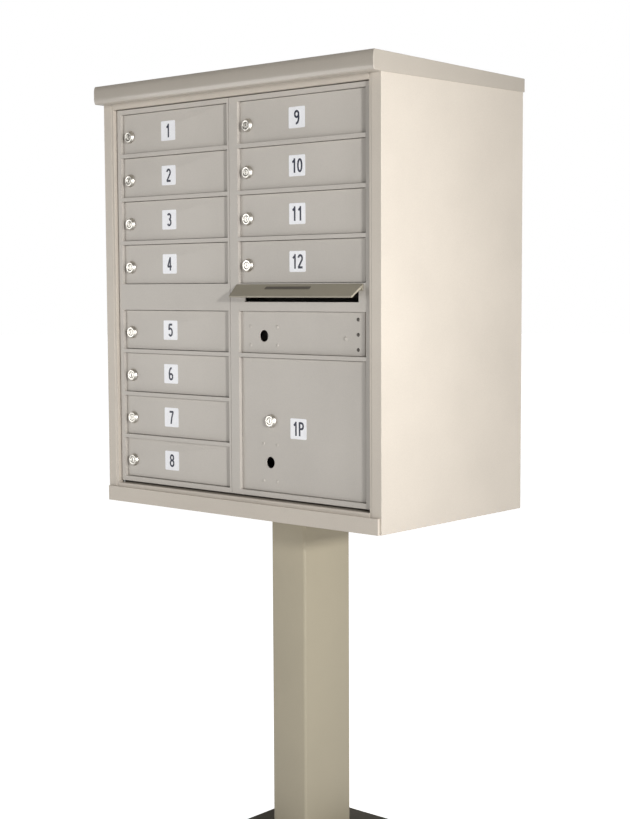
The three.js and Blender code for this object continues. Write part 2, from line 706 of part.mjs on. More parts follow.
// Sheet behind the slot that lets letters fall but keeps hands out.
function mailSlotGuard() {
  const front = MASTER_RECESS + MASTER_FACE + SEAT_GAP;
  const top = bandTop - RAIL_HEIGHT - SEAT_GAP;
  const knee = top - GUARD_FLANGE;
  const outline = [
    [front, top],
    [front, knee],
    [front + GUARD_REACH, knee - GUARD_DROP],
    [front + GUARD_REACH, knee - GUARD_DROP + GUARD_SHEET],
    [front + GUARD_SHEET, knee + GUARD_SHEET],
    [front + GUARD_SHEET, top],
  ];
  return beamX(outline, [slotX[0] - GUARD_OVERHANG, slotX[1] + GUARD_OVERHANG]);
}

const unit = new THREE.Group();
const cabinet = new THREE.Group();
cabinet.position.set(0, -CABINET_DEPTH / 2, PEDESTAL_HEIGHT);
unit.add(
  cabinet,
  mesh("base_plate", basePlate(), DARK_COATING),
  mesh("pedestal_post", pedestalPost(), COATING),
  mesh("pedestal_top_plate", pedestalTopPlate(), COATING),
);
cabinet.add(
  mesh("side_panel_left", sidePanel(-1), COATING),
  mesh("side_panel_right", sidePanel(1), COATING),
  mesh("back_panel", backPanel(), COATING),
  mesh("bottom_pan", bottomPan(), COATING),
  mesh("header_rail", headerRail(), COATING),
  mesh("top_panel", topPanel(), COATING),
  mesh("hood", hood(), COATING),
  mesh("hinge_pin_left", masterHingePin(-1), STEEL),
  mesh("hinge_pin_right", masterHingePin(1), STEEL),
  mesh("compartment_rack_left", leftRack(), ALUMINIUM),
  mesh("compartment_rack_right", rightRack(), ALUMINIUM),
  mesh("left_master_door", leftMasterDoor(), COATING),
  mesh("right_master_door", rightMasterDoor(), COATING),
  mesh("latch_guide", latchGuide(), STEEL),
  mesh("latch_bar", latchBar(), STEEL),
  mesh("mail_hood", mailHood(), COATING),
  mesh("mail_slot_guard", mailSlotGuard(), ALUMINIUM),
  mesh("master_lock_panel", masterLockPanel(), COATING),
  mesh("parcel_door", parcelDoor(), COATING),
  mesh("parcel_lock_body", lockBody(parcelLock), CHROME),
  mesh("parcel_lock_plug", lockPlug(parcelLock, PARCEL_LOCK_INSET), CHROME),
);

const tenants = [
  ...[...upperOpenings, ...lowerOpenings].map((opening) => ({ column: leftColumn, opening })),
  ...upperOpenings.map((opening) => ({ column: rightColumn, opening })),
];
tenants.forEach(({ column, opening }, i) => {
  const number = i + 1;
  const lock = tenantLockPlace(column, opening);
  cabinet.add(
    mesh(`tenant_door_${number}`, tenantDoor(column, opening), COATING),
    mesh(`tenant_lock_body_${number}`, lockBody(lock), CHROME),
    mesh(`tenant_lock_plug_${number}`, lockPlug(lock, LOCK_INSET), CHROME),
  );
});

export default unit;
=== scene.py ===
"""Cluster mailbox unit on a pedestal: finishes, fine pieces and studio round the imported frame.

Metres, +Z up, front towards -Y. Places come from the frame's nodes; sizes of fine pieces are in millimetres.
"""

import json
import logging
import math
from dataclasses import dataclass, field
from enum import Enum
from typing import Sequence

import bmesh
import bpy
import numpy as np
from mathutils import Matrix, Vector

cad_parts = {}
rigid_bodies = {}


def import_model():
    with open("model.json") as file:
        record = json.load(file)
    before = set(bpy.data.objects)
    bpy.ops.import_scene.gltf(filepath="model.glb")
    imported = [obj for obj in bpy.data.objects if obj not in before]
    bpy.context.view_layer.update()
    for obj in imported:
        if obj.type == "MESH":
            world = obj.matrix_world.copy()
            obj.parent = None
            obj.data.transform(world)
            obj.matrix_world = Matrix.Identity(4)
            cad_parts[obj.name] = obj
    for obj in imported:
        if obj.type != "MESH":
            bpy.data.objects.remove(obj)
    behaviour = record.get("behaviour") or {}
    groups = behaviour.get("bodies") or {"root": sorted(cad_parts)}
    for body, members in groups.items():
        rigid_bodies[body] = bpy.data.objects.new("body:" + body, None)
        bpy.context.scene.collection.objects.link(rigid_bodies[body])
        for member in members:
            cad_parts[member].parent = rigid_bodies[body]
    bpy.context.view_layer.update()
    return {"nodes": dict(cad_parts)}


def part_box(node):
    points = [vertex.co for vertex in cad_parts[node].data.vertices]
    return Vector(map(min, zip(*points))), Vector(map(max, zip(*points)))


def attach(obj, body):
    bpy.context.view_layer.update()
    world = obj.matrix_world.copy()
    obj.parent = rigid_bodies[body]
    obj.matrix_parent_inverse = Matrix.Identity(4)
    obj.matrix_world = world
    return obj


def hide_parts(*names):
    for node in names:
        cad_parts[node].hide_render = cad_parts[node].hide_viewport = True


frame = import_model()
LOG = logging.getLogger("mailbox_unit")
MM = 0.001
ROUND_TO_BACK = Matrix.Rotation(math.pi, 4, "Z")
UPRIGHT = Matrix.Rotation(math.pi / 2, 4, "X")
RIDE_ABOVE_MM = 0.05  # what a film stands clear of the face under it


class Door(Enum):
    """Which column a tenant door is in, by its master door's body."""

    LEFT = "left_master_door"
    RIGHT = "right_master_door"


TENANTS = {n: Door.LEFT if n <= 8 else Door.RIGHT for n in range(1, 13)}


# Colours and node trees


def linear(hex_colour: str) -> tuple[float, float, float, float]:
    """An sRGB hex colour as linear RGBA.

    Args:
        hex_colour: six hex digits with a leading hash.

    Returns:
        Linear red, green, blue and alpha 1.
    """
    channels = [int(hex_colour[i : i + 2], 16) / 255 for i in (1, 3, 5)]
    low = [c / 12.92 if c <= 0.04045 else ((c + 0.055) / 1.055) ** 2.4 for c in channels]
    return (low[0], low[1], low[2], 1.0)


def add_node(
    tree: bpy.types.NodeTree, kind: str, inputs: dict | None = None, stops: Sequence[tuple] = (), **settings
) -> bpy.types.Node:
    """Adds one node with its settings and its inputs.

    Args:
        tree: the node tree.
        kind: the node's type name.
        inputs: input name or index to a value, or to another node's output socket.
        stops: (position, colour) pairs, for a node with a colour ramp.
        **settings: attributes of the node.

    Returns:
        The new node.
    """
    node = tree.nodes.new(kind)
    for name, value in settings.items():
        setattr(node, name, value)
    for name, value in (inputs or {}).items():
        if isinstance(value, bpy.types.NodeSocket):
            tree.links.new(value, node.inputs[name])
        else:
            node.inputs[name].default_value = value
    for position, _ in stops[2:]:
        node.color_ramp.elements.new(position)
    for i, (position, colour) in enumerate(stops):
        node.color_ramp.elements[i].position = position
        node.color_ramp.elements[i].color = colour
    return node


def shade(colour: Sequence[float], factor: float) -> tuple[float, float, float, float]:
    """A linear colour made lighter or darker by a factor."""
    return (colour[0] * factor, colour[1] * factor, colour[2] * factor, 1.0)


@dataclass(frozen=True)
class Recipe:
    """A material on the bench: its node tree, its shader and the piece's own coordinates."""

    made: bpy.types.Material
    tree: bpy.types.NodeTree
    shader: bpy.types.Node
    place: bpy.types.NodeSocket

    @classmethod
    def start(cls, name: str) -> "Recipe":
        """A new material under a finish's name.

        Args:
            name: the material's name.

        Returns:
            The material with what its nodes hang on.
        """
        made = bpy.data.materials.new(name)
        made.use_nodes = True
        tree = made.node_tree
        place = add_node(tree, "ShaderNodeTexCoord").outputs["Object"]
        return cls(made, tree, tree.nodes["Principled BSDF"], place)

    def vary(self, pattern: bpy.types.NodeSocket, shades: tuple, roughness: tuple[float, float]) -> None:
        """Lets a pattern lead the colour and the roughness.

        Args:
            pattern: the pattern's value, mostly between 0.3 and 0.7.
            shades: the colours at its low and high ends.
            roughness: the least and the most, at 0 and 1.
        """
        stops = [(0.3, shades[0]), (0.7, shades[1])]
        tone = add_node(self.tree, "ShaderNodeValToRGB", {"Fac": pattern}, stops)
        self.tree.links.new(tone.outputs["Color"], self.shader.inputs["Base Color"])
        limits = {"Value": pattern, "To Min": roughness[0], "To Max": roughness[1]}
        rough = add_node(self.tree, "ShaderNodeMapRange", limits)
        self.tree.links.new(rough.outputs["Result"], self.shader.inputs["Roughness"])


# Finishes


@dataclass(frozen=True)
class PowderCoat:
    """Polyester powder coat baked on aluminium: satin, with a fine orange peel and a faint mottle."""

    name: str
    colour: str
    roughness: float = 0.45
    peel_mm: float = 2.2  # orange peel; drawn a little coarser than the real 1 mm so that it shows
    peel_depth_mm: float = 0.02
    mottle_mm: float = 140.0
    mottle: float = 0.03
    coat: float = 0.0

    def material(self) -> bpy.types.Material:
        """Mottle and fine specks in the colour, orange peel in the gloss and the relief.

        Returns:
            The node material.
        """
        recipe = Recipe.start(self.name)
        tree, base = recipe.tree, linear(self.colour)
        size = {"broad": self.mottle_mm, "fine": self.peel_mm, "speck": 0.6 * self.peel_mm}
        detail = {"broad": 3.0, "fine": 2.0, "speck": 1.0}
        noise = {
            kind: add_node(
                tree,
                "ShaderNodeTexNoise",
                {"Vector": recipe.place, "Scale": 1 / (size[kind] * MM), "Detail": detail[kind]},
            ).outputs["Fac"]
            for kind in size
        }
        tones = [(0.3, shade(base, 1 - self.mottle)), (0.7, shade(base, 1 + self.mottle))]
        tone = add_node(tree, "ShaderNodeValToRGB", {"Fac": noise["broad"]}, tones)
        grains = [(0.35, shade((1, 1, 1), 0.95)), (0.65, (1, 1, 1, 1))]
        grain = add_node(tree, "ShaderNodeValToRGB", {"Fac": noise["speck"]}, grains)
        layers = {"Factor": 1.0, 6: tone.outputs["Color"], 7: grain.outputs["Color"]}
        mixed = add_node(tree, "ShaderNodeMix", layers, data_type="RGBA", blend_type="MULTIPLY")
        tree.links.new(mixed.outputs[2], recipe.shader.inputs["Base Color"])
        gloss = {"Value": noise["fine"], "To Min": self.roughness - 0.05, "To Max": self.roughness + 0.07}
        rough = add_node(tree, "ShaderNodeMapRange", gloss)
        tree.links.new(rough.outputs["Result"], recipe.shader.inputs["Roughness"])
        relief = {"Height": noise["fine"], "Strength": 0.35, "Distance": self.peel_depth_mm * MM}
        bump = add_node(tree, "ShaderNodeBump", relief)
        tree.links.new(bump.outputs["Normal"], recipe.shader.inputs["Normal"])
        recipe.shader.inputs["IOR"].default_value = 1.5
        recipe.shader.inputs["Coat Weight"].default_value = self.coat
        return recipe.made


@dataclass(frozen=True)
class Plate:
    """Metal surface: plated, drawn or rolled, with fine lines along one axis."""

    name: str
    colour: str
    roughness: float
    line_mm: float
    stretch: tuple[float, float, float] = (1.0, 1.0, 1.0)
    spread: float = 0.06
    depth_mm: float = 0.004

    def material(self) -> bpy.types.Material:
        """Stretched noise as drawn lines, in the colour, the gloss and the relief.

        Returns:
            The node material.
        """
        recipe = Recipe.start(self.name)
        along = add_node(recipe.tree, "ShaderNodeMapping", {"Vector": recipe.place, "Scale": self.stretch})
        pattern = {"Vector": along.outputs["Vector"], "Scale": 1 / (self.line_mm * MM), "Detail": 4.0}
        lines = add_node(recipe.tree, "ShaderNodeTexNoise", pattern).outputs["Fac"]
        base = linear(self.colour)
        gloss = (self.roughness - self.spread, self.roughness + self.spread)
        recipe.vary(lines, (shade(base, 0.88), shade(base, 1.05)), gloss)
        relief = {"Height": lines, "Strength": 0.3, "Distance": self.depth_mm * MM}
        bump = add_node(recipe.tree, "ShaderNodeBump", relief)
        recipe.tree.links.new(bump.outputs["Normal"], recipe.shader.inputs["Normal"])
        recipe.shader.inputs["Metallic"].default_value = 1.0
        return recipe.made


@dataclass(frozen=True)
class Film:
    """Printed vinyl or ink: even, slightly soft in gloss, with a faint grain."""

    name: str
    colour: str
    roughness: float = 0.4
    grain_mm: float = 1.2

    def material(self) -> bpy.types.Material:
        """A faint grain in the colour and the gloss.

        Returns:
            The node material.
        """
        recipe = Recipe.start(self.name)
        pattern = {"Vector": recipe.place, "Scale": 1 / (self.grain_mm * MM), "Detail": 2.0}
        grain = add_node(recipe.tree, "ShaderNodeTexNoise", pattern).outputs["Fac"]
        base = linear(self.colour)
        gloss = (self.roughness - 0.05, self.roughness + 0.05)
        recipe.vary(grain, (shade(base, 0.93), shade(base, 1.04)), gloss)
        return recipe.made


# Warm pale shell: the lightest tone of the unit, so that its walls read as one folded body.
CABINET_COAT = PowderCoat("sandstone_powder_coat_cabinet", "#C6BDB1")
# A little greyer and duller than the shell: the doors sit back from it, and their greyer, darker tone is
# painted shade for that.
DOOR_SHADED_COAT = PowderCoat("sandstone_powder_coat_doors", "#BFB9B1", roughness=0.5)
# Glossier, so that the hood's nose turns from light to dark along its curve; its colour, darker than the
# shell's, is painted shade.
HOOD_SHADED_COAT = PowderCoat("sandstone_powder_coat_hood", "#B0A89D", roughness=0.32, coat=0.2)
# The mail hood's slope faces the dim air overhead and reads as olive: its darker olive colour is painted
# shade.
MAIL_HOOD_SHADED_COAT = PowderCoat("sandstone_powder_coat_mail_hood", "#9A9383", roughness=0.45)
# Yellower, darker and flatter than the shell: the yellower, darker tone is painted shade, for the cabinet's
# shadow on the post.
POST_SHADED_COAT = PowderCoat("sandstone_powder_coat_post", "#ACA38E", roughness=0.5)
# The one dark, coarse piece: it grounds the unit.
BASE_COAT = PowderCoat("dark_bronze_coat_base", "#69645B", roughness=0.6, peel_mm=3.0)
# Soft mirror: each lock is the brightest spot on its door.
LOCK_NICKEL = Plate("satin_nickel_plate", "#DAD6CE", 0.34, 1.5)
# Drawn lines along the pins and the latch catch a thin highlight.
PIN_ZINC = Plate("bright_zinc_steel", "#A9A9A6", 0.36, 0.8, (1.0, 1.0, 0.05))
# Duller than zinc, so that rivets show as dark dots on the coat: dull steel, with the shade of the rivets'
# dimples and holes painted into its dark colour.
SHADED_RIVET_STEEL = Plate("dull_rivet_steel", "#6F6B66", 0.45, 0.8)
# Rolled grain from front to back: the bays shimmer faintly when the doors are open.
MILL_SHEET = Plate("mill_finish_aluminium", "#B9B9B5", 0.42, 1.0, (1.0, 0.04, 1.0))
# The only true white, which makes the numbers legible from afar.
LABEL_WHITE = Film("white_vinyl_label", "#F1F1F4", 0.35)
# Blue-black ink, flatter than the vinyl under it.
LABEL_INK = Film("navy_label_ink", "#1D2138", 0.45)
# Matt dark film: a quiet line across the mail hood.
STRIP_DARK = Film("dark_mail_hood_strip", "#5F5A52", 0.6)


class Shelf:
    """The finishes as materials, each made once."""

    def __init__(self) -> None:
        """Starts empty."""
        self.made: dict[str, bpy.types.Material] = {}

    def get(self, finish: PowderCoat | Plate | Film) -> bpy.types.Material:
        """The material of a finish, built on first use.

        Args:
            finish: the finish.

        Returns:
            Its material.
        """
        if finish.name not in self.made:
            self.made[finish.name] = finish.material()
        return self.made[finish.name]


SHELF = Shelf()


# Surfaces


def grid_faces(rows: int, columns: int, wrap_rows: bool, wrap_columns: bool) -> np.ndarray:
    """Quads of a grid of points, row by row.

    Args:
        rows: points along the first parameter.
        columns: points along the second.
        wrap_rows: whether the last row joins the first.
        wrap_columns: whether the last column joins the first.

    Returns:
        An array of four point numbers for each face.
    """
    i = np.arange(rows if wrap_rows else rows - 1)
    j = np.arange(columns if wrap_columns else columns - 1)
    first, second = np.meshgrid(i, j, indexing="ij")
    down, across = (first + 1) % rows, (second + 1) % columns
    here, below = first * columns, down * columns
    corners = [here + second, here + across, below + across, below + second]
    return np.stack(corners, axis=-1).reshape(-1, 4)


def surface(
    name: str, points: np.ndarray, wrap_rows: bool, wrap_columns: bool, capped: bool = False
) -> bpy.types.Mesh:
    """A mesh over a grid of points.

    Args:
        name: the mesh's name.
        points: rows x columns x 3, in metres.
        wrap_rows: whether the last row joins the first.
        wrap_columns: whether the last column joins the first.
        capped: whether the first and last row are closed with one face each.

    Returns:
        The mesh, doubles merged and its faces outwards.
    """
    rows, columns, _ = points.shape
    faces = [tuple(face) for face in grid_faces(rows, columns, wrap_rows, wrap_columns).tolist()]
    if capped:
        faces.append(tuple(range(columns)))
        faces.append(tuple(range((rows - 1) * columns, rows * columns)))
    mesh = bpy.data.meshes.new(name)
    mesh.from_pydata(points.reshape(-1, 3).tolist(), [], faces)
    tidy(mesh)
    return mesh


def tidy(mesh: bpy.types.Mesh, dissolve: bool = False) -> None:
    """Merges doubles, then turns faces outwards or joins flat triangles into whole faces.

    Args:
        mesh: the mesh, changed in place.
        dissolve: whether to join flat triangles; such a mesh's faces already point outwards.
    """
    work = bmesh.new()
    work.from_mesh(mesh)
    bmesh.ops.remove_doubles(work, verts=work.verts, dist=1e-6)
    bmesh.ops.dissolve_degenerate(work, edges=work.edges, dist=1e-7)
    if dissolve:
        bmesh.ops.dissolve_limit(work, verts=work.verts, edges=work.edges, angle_limit=math.radians(0.5))
    else:
        bmesh.ops.recalc_face_normals(work, faces=work.faces)
    work.to_mesh(mesh)
    work.free()


def turned(
    name: str, profile: Sequence[tuple[float, float]], segments: int = 48, ring: bool = False
) -> bpy.types.Mesh:
    """A profile of (radius, depth) points in millimetres, turned about the Y axis through the origin.

    The point at angle a of a profile point is (radius cos a, depth, radius sin a).

    Args:
        name: the mesh's name.
        profile: the outline; it starts and ends on the axis, or is a closed ring.
        segments: steps round.
        ring: whether the profile closes on itself.

    Returns:
        The mesh.
    """
    outline = np.asarray(profile, float) * MM
    angle = np.linspace(0, 2 * math.pi, segments, endpoint=False)
    radius, depth = outline[:, 0, None], outline[:, 1, None]
    points = np.stack([radius * np.cos(angle), depth + 0 * angle, radius * np.sin(angle)], axis=-1)
    return surface(name, points, ring, True)


def arc(
    centre: tuple[float, float], radius: float, start: float, end: float, steps: int
) -> list[tuple[float, float]]:
    """Points on a circle from one angle to another, in degrees."""
    angle = np.radians(np.linspace(start, end, steps))
    return list(zip(centre[0] + radius * np.cos(angle), centre[1] + radius * np.sin(angle)))


def rounded_rectangle(width: float, height: float, radius: float, steps: int = 6) -> np.ndarray:
    """A rectangle with round corners: a quarter circle about each corner's centre, in turn.

    Args:
        width: across.
        height: up.
        radius: of the corners.
        steps: points of each corner.

    Returns:
        The outline, anticlockwise, as points x 2.
    """
    x, y = width / 2 - radius, height / 2 - radius
    corners = ((x, y, 0), (-x, y, 90), (-x, -y, 180), (x, -y, 270))
    return np.array([p for cx, cy, a in corners for p in arc((cx, cy), radius, a, a + 90, steps)])


def moved(mesh: bpy.types.Mesh, name: str, place: Vector) -> bpy.types.Mesh:
    """A copy of a mesh with its points moved to a place.

    Args:
        mesh: the mesh.
        name: the copy's name.
        place: what is added to each point.

    Returns:
        The copy.
    """
    made = mesh.copy()
    made.name = name
    points = np.empty(len(made.vertices) * 3, np.float32)
    made.vertices.foreach_get("co", points)
    points = points.reshape(-1, 3) + np.array(place, np.float32)
    made.vertices.foreach_set("co", points.ravel())
    return made


# Placing pieces


def place_piece(
    name: str,
    mesh: bpy.types.Mesh,
    body: str,
    finish: PowderCoat | Plate | Film,
    smooth_angle: float = 35.0,
) -> bpy.types.Object:
    """Makes an object of a mesh, gives it its finish and lets it ride on a body.

    Args:
        name: the piece's name.
        mesh: its mesh, in place.
        body: the body it rides on.
        finish: its finish.
        smooth_angle: edges sharper than this stay sharp, in degrees.

    Returns:
        The object.
    """
    piece = bpy.data.objects.new(name, mesh)
    bpy.context.scene.collection.objects.link(piece)
    mesh.materials.clear()
    mesh.materials.append(SHELF.get(finish))
    mesh.shade_smooth()
    mesh.set_sharp_from_angle(angle=math.radians(smooth_angle))
    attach(piece, body)
    return piece


def bevelled(piece: bpy.types.Object, width_mm: float, segments: int = 2) -> None:
    """Adds a live bevel on the edges sharper than 30 degrees.

    Args:
        piece: the piece.
        width_mm: the bevel's width.
        segments: steps across it.
    """
    modifier = piece.modifiers.new("edge_round", "BEVEL")
    modifier.width = width_mm * MM
    modifier.segments = segments
    modifier.limit_method = "ANGLE"
    modifier.angle_limit = math.radians(30)
    modifier.harden_normals = True


def dressed(
    node: str, body: str, finish: PowderCoat | Plate, slot: str, edge_mm: float, segments: int = 2
) -> bpy.types.Object:
    """A copy of a CAD node with merged faces and rounded edges, which stands for it.

    Args:
        node: the CAD node.
        body: the body it rides on.
        finish: its finish.
        slot: the record's material slot; not used.
        edge_mm: the width of the rounded edges.
        segments: steps across each rounded edge.

    Returns:
        The object.
    """
    mesh = frame["nodes"][node].data.copy()
    mesh.name = node + "_finished"
    tidy(mesh, dissolve=True)
    piece = place_piece(node + "_finished", mesh, body, finish)
    bevelled(piece, edge_mm, segments)
    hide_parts(node)
    return piece


# Assemblies


def collar(
    inner: float, outer: float, span: tuple[float, float], cut: tuple[float, float]
) -> list[tuple[float, float]]:
    """A ring's profile with its outer corners cut off, in millimetres.

    Args:
        inner: radius of the hole.
        outer: radius outside.
        span: lowest and highest depth.
        cut: what the corners lose, inwards and along.

    Returns:
        (radius, depth) points.
    """
    low, high = span
    edge = [(outer - cut[0], low), (outer, low + cut[1]), (outer, high - cut[1]), (outer - cut[0], high)]
    return [(inner, low)] + edge + [(inner, high)]


@dataclass
class Anchor:
    """Washer, hex nut and threaded stud that hold the base plate down."""

    washer_mm: tuple[float, float] = (7.0, 14.5)  # radii of the hole and outside
    washer_span_mm: tuple[float, float] = (0.0, 2.5)
    washer_cut_mm: tuple[float, float] = (0.5, 0.5)
    nut_mm: tuple[float, float] = (6.6, 11.0)
    nut_span_mm: tuple[float, float] = (2.7, 12.5)
    nut_cut_mm: tuple[float, float] = (1.4, 0.8)
    stud_mm: float = 6.0
    thread_mm: float = 0.35
    stud_span_mm: tuple[float, float] = (-8.0, 19.0)
    thread_points: int = 60

    def build(self, number: int, place: Vector) -> None:
        """Makes the three pieces of one anchor.

        Args:
            number: the anchor's number.
            place: the middle of its hole, on the plate's upper face.
        """
        washer = collar(*self.washer_mm, self.washer_span_mm, self.washer_cut_mm)
        nut = collar(*self.nut_mm, self.nut_span_mm, self.nut_cut_mm)
        kinds = (("washer", washer, 32, True), ("nut", nut, 6, True), ("stud", self.thread(), 24, False))
        for kind, profile, segments, ring in kinds:
            name = f"anchor_{kind}_{number}"
            mesh = turned(name, profile, segments, ring)
            mesh.transform(UPRIGHT)
            ready = moved(mesh, name, place)
            tidy(ready)
            place_piece(name, ready, "cabinet", PIN_ZINC, 25)

    def thread(self) -> list[tuple[float, float]]:
        """The stud's profile: a zigzag between root and crest along it, closed on the axis.

        Returns:
            (radius, depth) points.
        """
        low, high = self.stud_span_mm
        levels = enumerate(np.linspace(low, high, self.thread_points))
        zigzag = [(self.stud_mm + self.thread_mm * (i % 2), float(level)) for i, level in levels]
        return [(0.0, low)] + zigzag + [(0.0, high)]


@dataclass
class Pedestal:
    """Base plate with its anchors, welded tube and the plate under the cabinet."""

    corner_mm: float = 6.0
    wall_mm: float = 4.0
    weld_mm: float = 5.0
    weld_ripple_mm: float = 3.0
    anchor_inset_mm: float = 38.0
    anchor: Anchor = field(default_factory=Anchor)

    def build(self) -> None:
        """Makes every piece of the pedestal."""
        dressed("base_plate", "cabinet", BASE_COAT, "base_coating", 1.2)
        dressed("pedestal_top_plate", "cabinet", POST_SHADED_COAT, "cabinet_coating", 0.8)
        self.post()
        self.welds()
        self.anchors()

    def post(self) -> None:
        """The tube: outer and inner round-cornered outlines joined at both ends into one closed wall."""
        low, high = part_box("pedestal_post")
        width, depth = (high.x - low.x) / MM, (high.y - low.y) / MM
        outer = rounded_rectangle(width, depth, self.corner_mm)
        wall = self.wall_mm
        inner = rounded_rectangle(width - 2 * wall, depth - 2 * wall, self.corner_mm - wall)
        rings = [(outer, low.z), (outer, high.z), (inner, high.z), (inner, low.z)]
        points = np.array([np.column_stack([ring * MM, np.full(len(ring), z)]) for ring, z in rings])
        tube = surface("post_tube", points, True, True)
        piece = place_piece("post_tube", tube, "cabinet", POST_SHADED_COAT)
        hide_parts("pedestal_post")

    def welds(self) -> None:
        """Weld beads round the tube: a half-round section carried along the outline, its size rippling."""
        low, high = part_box("pedestal_post")
        width, depth = (high.x - low.x) / MM, (high.y - low.y) / MM
        path = rounded_rectangle(width, depth, self.corner_mm, 5)
        closed = np.vstack([path, path[:1]])
        run = np.concatenate([[0], np.cumsum(np.hypot(*np.diff(closed, axis=0).T))])
        count = int(run[-1] / (self.weld_ripple_mm / 4))
        along = np.linspace(0, run[-1], count, endpoint=False)
        line = np.column_stack([np.interp(along, run, closed[:, k]) for k in (0, 1)])
        ahead = np.roll(line, -1, axis=0) - np.roll(line, 1, axis=0)
        ahead /= np.linalg.norm(ahead, axis=1)[:, None]
        outwards = np.column_stack([ahead[:, 1], -ahead[:, 0]])
        size = self.weld_mm * (0.9 + 0.1 * np.cos(2 * math.pi * along / self.weld_ripple_mm))
        around = np.radians(np.linspace(0, 90, 6))
        for name, level, up in (("weld_base", low.z, 1), ("weld_top", high.z, -1)):
            reach = size[:, None] * np.cos(around)
            rise = size[:, None] * np.sin(around)
            plan = line[:, None, :] + outwards[:, None, :] * reach[..., None]
            height = level + up * rise * MM
            bead = np.concatenate([plan * MM, height[..., None]], axis=-1)
            root = np.column_stack([line * MM, np.full(count, level)])[:, None, :]
            points = np.concatenate([bead, root], axis=1)
            place_piece(name, surface(name, points, True, True), "cabinet", POST_SHADED_COAT, 60)

    def anchors(self) -> None:
        """An anchor at each corner of the base plate."""
        low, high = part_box("base_plate")
        inset = self.anchor_inset_mm * MM
        corners = [(x, y) for x in (low.x + inset, high.x - inset) for y in (low.y + inset, high.y - inset)]
        for i, (x, y) in enumerate(corners):
            self.anchor.build(i + 1, Vector((x, y, high.z)))


@dataclass
class Cabinet:
    """Walls, hood, header, pan and the racks inside."""

    coated: tuple[str, ...] = ("side_panel_left", "side_panel_right", "back_panel", "top_panel")
    framing: tuple[str, ...] = ("bottom_pan", "header_rail")
    edge_mm: float = 0.9
    hood_edge_mm: float = 1.8
    rivet_pitch_mm: float = 150.0
    rivet_mm: tuple[float, float] = (3.2, 1.1)  # radius and height
    rivet_end_mm: float = 30.0  # from the wall's top and foot
    rivet_inset_mm: float = 12.0  # from its sides

    def build(self) -> None:
        """Makes every piece of the cabinet."""
        for node in self.coated + self.framing:
            dressed(node, "cabinet", CABINET_COAT, "cabinet_coating", self.edge_mm)
        dressed("hood", "cabinet", HOOD_SHADED_COAT, "cabinet_coating", self.hood_edge_mm, 3)
        for node in ("compartment_rack_left", "compartment_rack_right"):
            dressed(node, "cabinet", MILL_SHEET, "mill_aluminium", 0.3, 1)
        for node in ("hinge_pin_left", "hinge_pin_right"):
            dressed(node, "cabinet", PIN_ZINC, "zinc_steel", 0.4)
        self.rear_rivets()

    def rear_rivets(self) -> None:
        """Rows of blind rivets down both edges of the back wall."""
        low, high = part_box("back_panel")
        head = turned("rivet_head", dome(*self.rivet_mm))
        head.transform(ROUND_TO_BACK)
        tidy(head)
        count = int((high.z - low.z) / (self.rivet_pitch_mm * MM))
        end, inset = self.rivet_end_mm * MM, self.rivet_inset_mm * MM
        heights = np.linspace(low.z + end, high.z - end, count + 1)
        for side, x in (("left", low.x + inset), ("right", high.x - inset)):
            for i, z in enumerate(heights):
                name = f"rear_rivet_{side}_{i + 1}"
                ready = moved(head, name, Vector((x, high.y, z)))
                place_piece(name, ready, "cabinet", CABINET_COAT)


def dome(radius: float, height: float, hole: float = 0.0, steps: int = 8) -> list[tuple[float, float]]:
    """A rivet head's profile: a flat back on the axis and an elliptic crown towards -Y, in millimetres.

    Args:
        radius: of the head.
        height: of the crown.
        hole: radius of the mandrel's hole in the crown, or 0 for a whole crown.
        steps: points of the crown.

    Returns:
        (radius, depth) points.
    """
    angle = np.arccos(np.linspace(1, hole / radius, steps))
    crown = list(zip(radius * np.cos(angle), -height * np.sin(angle)))
    pit = [(hole, -0.3 * height), (0.0, -0.3 * height)] if hole else []
    return [(0.0, 0.3), (radius, 0.3)] + crown + pit


@dataclass
class Lock:
    """Cam lock: turned head and barrel, and the plug with its cam."""

    head_mm: float = 26.0
    front_mm: float = 22.5
    barrel_mm: float = 19.0
    bore_mm: float = 12.8
    plug_edge_mm: float = 0.35
    lip_mm: float = 1.4  # radius of the rolled front lip
    rim_mm: float = 0.8  # radius of the rim's edge
    cone_mm: float = 4.6  # depth of the cone from the front to the rim
    head_depth_mm: float = 6.7
    length_mm: float = 21.7
    chamfer_mm: tuple[float, float] = (0.6, 0.3)  # at the barrel's end, inwards and along

    def build(self, label: str, body: str, plug_body: str) -> None:
        """Makes the ring and the plug of one lock.

        Args:
            label: the part of the node names that says which lock.
            body: the door's body.
            plug_body: the plug's body.
        """
        body_node = "parcel_lock_body" if label == "parcel" else f"tenant_lock_body_{label}"
        plug_node = "parcel_lock_plug" if label == "parcel" else f"tenant_lock_plug_{label}"
        low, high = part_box(body_node)
        centre = (low + high) / 2
        ring = moved(self.ring(), f"lock_ring_{label}", Vector((centre.x, low.y, centre.z)))
        piece = place_piece(f"lock_ring_{label}", ring, body, LOCK_NICKEL, 40)
        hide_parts(body_node)
        dressed(plug_node, plug_body, LOCK_NICKEL, "lock_chrome", self.plug_edge_mm)

    def ring(self) -> bpy.types.Mesh:
        """Head and barrel: round the bore, a rolled front lip, a cone to the rim, a step to the barrel.

        Returns:
            The mesh, its front at depth 0 and its axis along Y through the origin.
        """
        bore, front, rim, barrel = self.bore_mm / 2, self.front_mm / 2, self.head_mm / 2, self.barrel_mm / 2
        inwards, along = self.chamfer_mm
        profile = [(bore, 0.9), (bore + 0.4, 0.25), (bore + 1.0, 0.0), (front - self.lip_mm - 0.8, 0.0)]
        profile += arc((front - self.lip_mm, self.lip_mm), self.lip_mm, -90, -20, 6)
        profile += [(rim - 0.5, self.cone_mm)]
        profile += arc((rim - self.rim_mm, self.cone_mm + 1.0), self.rim_mm, -30, 60, 5)
        profile += [(rim - self.rim_mm, self.head_depth_mm), (barrel, self.head_depth_mm)]
        profile += [(barrel, self.length_mm - along), (barrel - inwards, self.length_mm)]
        return turned("lock_ring", profile + [(bore, self.length_mm)], 64, True)


